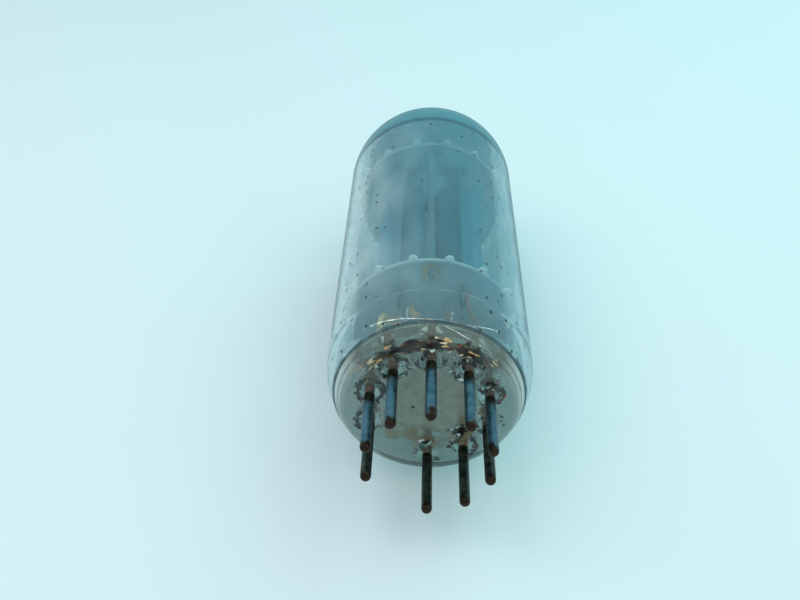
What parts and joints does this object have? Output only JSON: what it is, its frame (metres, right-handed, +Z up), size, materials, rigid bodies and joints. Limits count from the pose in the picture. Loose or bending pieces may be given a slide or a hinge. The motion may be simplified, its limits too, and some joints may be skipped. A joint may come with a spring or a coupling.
{
  "type": "twin triode tube",
  "caption": "Glass vacuum tube that holds two triodes side by side between mica spacers, with wire pins round its pressed glass base.",
  "frame": {"origin": "on the surface that the tube lies on, under the middle of its box", "axes": "+Z up, +Y along the tube's axis from the pins to the domed end, +X to the right when the pins point at the viewer"},
  "size_m": [0.0205, 0.0642, 0.0205],
  "materials": {
    "bulb_glass": "dusty soft lime glass, hazed, with a grey getter film in the dome",
    "stem_glass": "pressed glass, milky and stained",
    "mica": "satin mica sheet",
    "brass": "plain",
    "nickel": "dull nickel",
    "pin_metal": "oxidised hard wire, copper red in the glass",
    "copper_clad_wire": "clean copper cladding",
    "carbonised_sheet": "matt carbonised nickel sheet",
    "cathode_coating": "matt white oxide coating",
    "heater_coating": "matt white alumina coating",
    "grid_copper": "clean copper"
  },
  "bodies": {
    "root": {"bulb": "bulb_glass", "stem": "stem_glass", "mica_lower": "mica", "mica_upper": "mica", "eyelet_lower": "brass", "eyelet_upper": "brass", "getter_post": "nickel", "getter_ring": "nickel", "pin_1": "pin_metal", "pin_2": "pin_metal", "pin_3": "pin_metal", "pin_4": "pin_metal", "pin_5": "pin_metal", "pin_6": "pin_metal", "pin_7": "pin_metal", "pin_8": "pin_metal", "pin_9": "pin_metal", "lead_1": "copper_clad_wire", "lead_2": "copper_clad_wire", "lead_3": "copper_clad_wire", "lead_4": "copper_clad_wire", "lead_5": "copper_clad_wire", "lead_6": "copper_clad_wire", "lead_7": "copper_clad_wire", "lead_8": "copper_clad_wire", "lead_9": "copper_clad_wire", "anode_inner_left": "carbonised_sheet", "anode_inner_right": "carbonised_sheet", "anode_outer_left": "carbonised_sheet", "anode_outer_right": "carbonised_sheet", "cathode_left": "cathode_coating", "cathode_right": "cathode_coating", "heater_left": "heater_coating", "heater_right": "heater_coating", "grid_winding_left": "nickel", "grid_winding_right": "nickel", "grid_rod_left_front": "grid_copper", "grid_rod_left_back": "grid_copper", "grid_rod_right_front": "grid_copper", "grid_rod_right_back": "grid_copper"}
  },
  "joints": []
}
